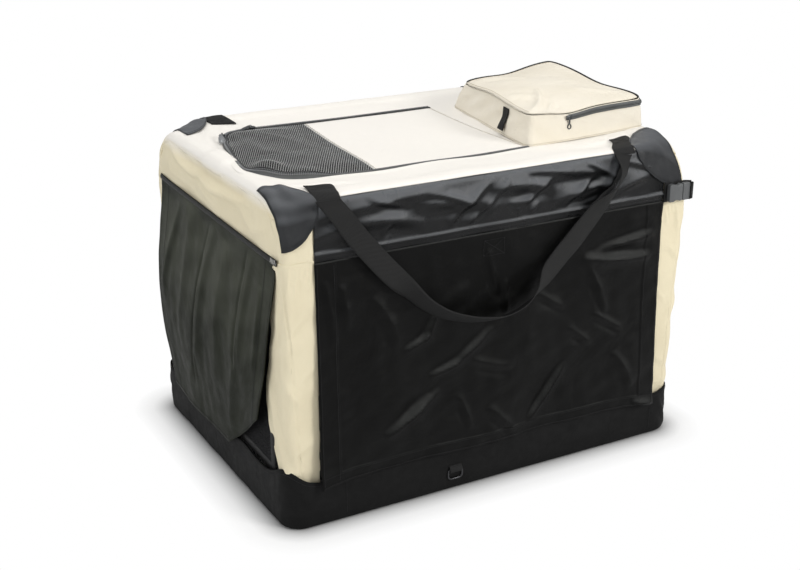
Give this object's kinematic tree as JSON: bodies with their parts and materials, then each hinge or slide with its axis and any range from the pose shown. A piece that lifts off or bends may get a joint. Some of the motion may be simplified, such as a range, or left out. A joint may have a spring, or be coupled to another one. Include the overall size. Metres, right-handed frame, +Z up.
{
  "type": "folding fabric dog crate",
  "caption": "Folding fabric dog crate on a collapsible tube frame, with mesh doors behind roll-up flaps, a zipped roof hatch, a roof pocket and webbing handles.",
  "frame": {"origin": "centre of the crate's footprint, on the floor", "axes": "+X along the length towards the pocket end, -Y out of the long front, +Z up"},
  "size_m": [0.8756, 0.6768, 0.6611],
  "materials": {
    "beige_cloth": "woven polyester, coated inside",
    "black_cloth": "smooth coated polyester with a slight sheen",
    "flap_cloth": "thin coated polyester, creased",
    "slate_cloth": "dense woven polyester",
    "net": "coated mesh",
    "fleece": "short pile",
    "webbing": "ribbed webbing",
    "steel_tube": "powder coated tube",
    "zinc": "plated",
    "grey_plastic": "moulded",
    "black_plastic": "moulded",
    "board": "stiffening board in cloth"
  },
  "bodies": {
    "base": {"base_ring": "steel_tube", "base_tray": "black_cloth", "floor_board": "board", "floor_mat": "fleece", "left_base_saddle": "black_plastic", "right_base_saddle": "black_plastic", "front_left_post": "beige_cloth", "front_right_post": "beige_cloth", "back_left_post": "beige_cloth", "back_right_post": "beige_cloth", "front_upper_panel": "black_cloth", "back_upper_panel": "black_cloth", "left_top_band": "beige_cloth", "right_top_band": "beige_cloth", "back_net_window": "net", "right_net_window": "net", "foot_loop": "webbing"},
    "left_lower": {"left_lower_hoop": "steel_tube", "left_front_knee_pin": "zinc", "left_back_knee_pin": "zinc"},
    "left_upper": {"left_upper_hoop": "steel_tube"},
    "right_lower": {"right_lower_hoop": "steel_tube", "right_front_knee_pin": "zinc", "right_back_knee_pin": "zinc"},
    "right_upper": {"right_upper_hoop": "steel_tube"},
    "roof": {"roof_ring": "steel_tube", "roof_cover": "beige_cloth", "left_roof_saddle": "black_plastic", "right_roof_saddle": "black_plastic", "pocket_body": "beige_cloth", "closing_strap": "webbing", "buckle_body": "grey_plastic", "front_left_patch": "slate_cloth", "front_right_patch": "slate_cloth", "back_left_patch": "slate_cloth", "back_right_patch": "slate_cloth", "front_left_handle_end": "webbing", "front_right_handle_end": "webbing", "back_left_handle_end": "webbing", "back_right_handle_end": "webbing"},
    "front_door": {"front_net_door": "net"},
    "left_door": {"left_net_door": "net"},
    "front_flap": {"front_flap": "flap_cloth"},
    "back_flap": {"back_flap": "flap_cloth"},
    "left_flap": {"left_flap": "flap_cloth"},
    "right_flap": {"right_flap": "flap_cloth"},
    "hatch": {"hatch_net": "net", "hatch_cloth": "beige_cloth"},
    "hatch_back_slider": {"hatch_back_slider": "zinc"},
    "hatch_front_slider": {"hatch_front_slider": "zinc"},
    "hatch_back_pull": {"hatch_back_pull": "zinc"},
    "hatch_front_pull": {"hatch_front_pull": "zinc"},
    "pocket_lid": {"pocket_lid": "beige_cloth"},
    "pocket_slider": {"pocket_slider": "zinc"},
    "pocket_pull": {"pocket_pull": "zinc"},
    "front_handle": {"front_handle": "webbing"},
    "back_handle": {"back_handle": "webbing"},
    "buckle_prongs": {"buckle_prongs": "grey_plastic"},
    "foot_ring": {"foot_ring": "zinc"}
  },
  "joints": [
    {"name": "fold", "type": "hinge", "parent": "base", "child": "left_lower", "pos_m": [-0.392, 0, 0.0405], "axis": [0, -1, 0], "range_deg": [-85, 0], "deforming": ["front_left_post", "front_right_post", "back_left_post", "back_right_post", "front_upper_panel", "back_upper_panel", "left_top_band", "right_top_band", "back_net_window", "right_net_window", "front_net_door", "left_net_door", "front_flap", "back_flap", "left_flap", "right_flap", "front_left_patch", "front_right_patch", "back_left_patch", "back_right_patch", "front_handle", "back_handle"]},
    {"name": "left_knee", "type": "hinge", "parent": "left_lower", "child": "left_upper", "pos_m": [-0.392, 0, 0.29475], "axis": [0, -1, 0], "range_deg": [0, 170]},
    {"name": "roof_pivot", "type": "hinge", "parent": "left_upper", "child": "roof", "pos_m": [-0.392, 0, 0.549], "axis": [0, -1, 0], "range_deg": [-85, 0]},
    {"name": "right_base_pivot", "type": "hinge", "parent": "base", "child": "right_lower", "pos_m": [0.392, 0, 0.0405], "axis": [0, -1, 0], "range_deg": [0, 85]},
    {"name": "right_knee", "type": "hinge", "parent": "right_lower", "child": "right_upper", "pos_m": [0.392, 0, 0.29475], "axis": [0, -1, 0], "range_deg": [-170, 0]},
    {"name": "front_door", "type": "hinge", "parent": "base", "child": "front_door", "pos_m": [0, -0.28875, 0.4753], "axis": [1, 0, 0], "range_deg": [0, 85]},
    {"name": "left_door", "type": "hinge", "parent": "base", "child": "left_door", "pos_m": [-0.40475, 0, 0.4753], "axis": [0, -1, 0], "range_deg": [0, 55]},
    {"name": "front_flap", "type": "hinge", "parent": "base", "child": "front_flap", "pos_m": [0, -0.2916, 0.476], "axis": [-1, 0, 0], "range_deg": [0, 150]},
    {"name": "back_flap", "type": "hinge", "parent": "base", "child": "back_flap", "pos_m": [0, 0.2916, 0.476], "axis": [1, 0, 0], "range_deg": [0, 150]},
    {"name": "left_flap", "type": "hinge", "parent": "base", "child": "left_flap", "pos_m": [-0.4078, 0, 0.476], "axis": [0, 1, 0], "range_deg": [0, 150]},
    {"name": "right_flap", "type": "hinge", "parent": "base", "child": "right_flap", "pos_m": [0.4078, 0, 0.476], "axis": [0, -1, 0], "range_deg": [0, 150]},
    {"name": "hatch", "type": "hinge", "parent": "roof", "child": "hatch", "pos_m": [0.13, 0, 0.58], "axis": [0, 1, 0], "range_deg": [0, 90]},
    {"name": "hatch_back_slider", "type": "slide", "parent": "hatch", "child": "hatch_back_slider", "axis": [1, 0, 0], "range_m": [0, 0.365]},
    {"name": "hatch_front_slider", "type": "hinge", "parent": "hatch", "child": "hatch_front_slider", "pos_m": [-0.265, 0.075, 0.58], "axis": [0, 0, 1], "range_deg": [0, 34]},
    {"name": "hatch_back_pull", "type": "hinge", "parent": "hatch_back_slider", "child": "hatch_back_pull", "pos_m": [-0.2618, 0.1682, 0.5844], "axis": [-0.5592, 0.829, 0], "range_deg": [0, 120]},
    {"name": "hatch_front_pull", "type": "hinge", "parent": "hatch_front_slider", "child": "hatch_front_pull", "pos_m": [-0.3461, 0.1215, 0.5844], "axis": [-0.9397, 0.342, 0], "range_deg": [0, 120]},
    {"name": "pocket_lid", "type": "hinge", "parent": "roof", "child": "pocket_lid", "pos_m": [0.147, 0, 0.635], "axis": [0, -1, 0], "range_deg": [0, 75]},
    {"name": "pocket_slider", "type": "slide", "parent": "roof", "child": "pocket_slider", "axis": [1, 0, 0], "range_m": [0, 0.15]},
    {"name": "pocket_pull", "type": "hinge", "parent": "pocket_slider", "child": "pocket_pull", "pos_m": [0.212, -0.1744, 0.626], "axis": [-1, 0, 0], "range_deg": [0, 120]},
    {"name": "front_handle", "type": "hinge", "parent": "roof", "child": "front_handle", "pos_m": [0, -0.3, 0.568], "axis": [-1, 0, 0], "range_deg": [0, 165]},
    {"name": "back_handle", "type": "hinge", "parent": "roof", "child": "back_handle", "pos_m": [0, 0.3, 0.568], "axis": [1, 0, 0], "range_deg": [0, 165]},
    {"name": "buckle", "type": "slide", "parent": "roof", "child": "buckle_prongs", "axis": [1, 0, 0], "range_m": [0, 0.045]},
    {"name": "foot_ring", "type": "hinge", "parent": "base", "child": "foot_ring", "pos_m": [-0.085, -0.2969, 0.0435], "axis": [-1, 0, 0], "range_deg": [0, 100]}
  ],
  "couplings": [
    {"joint": "left_knee", "follows": "fold", "ratio": -2},
    {"joint": "roof_pivot", "follows": "fold", "ratio": 1},
    {"joint": "right_base_pivot", "follows": "fold", "ratio": -1},
    {"joint": "right_knee", "follows": "fold", "ratio": 2}
  ]
}
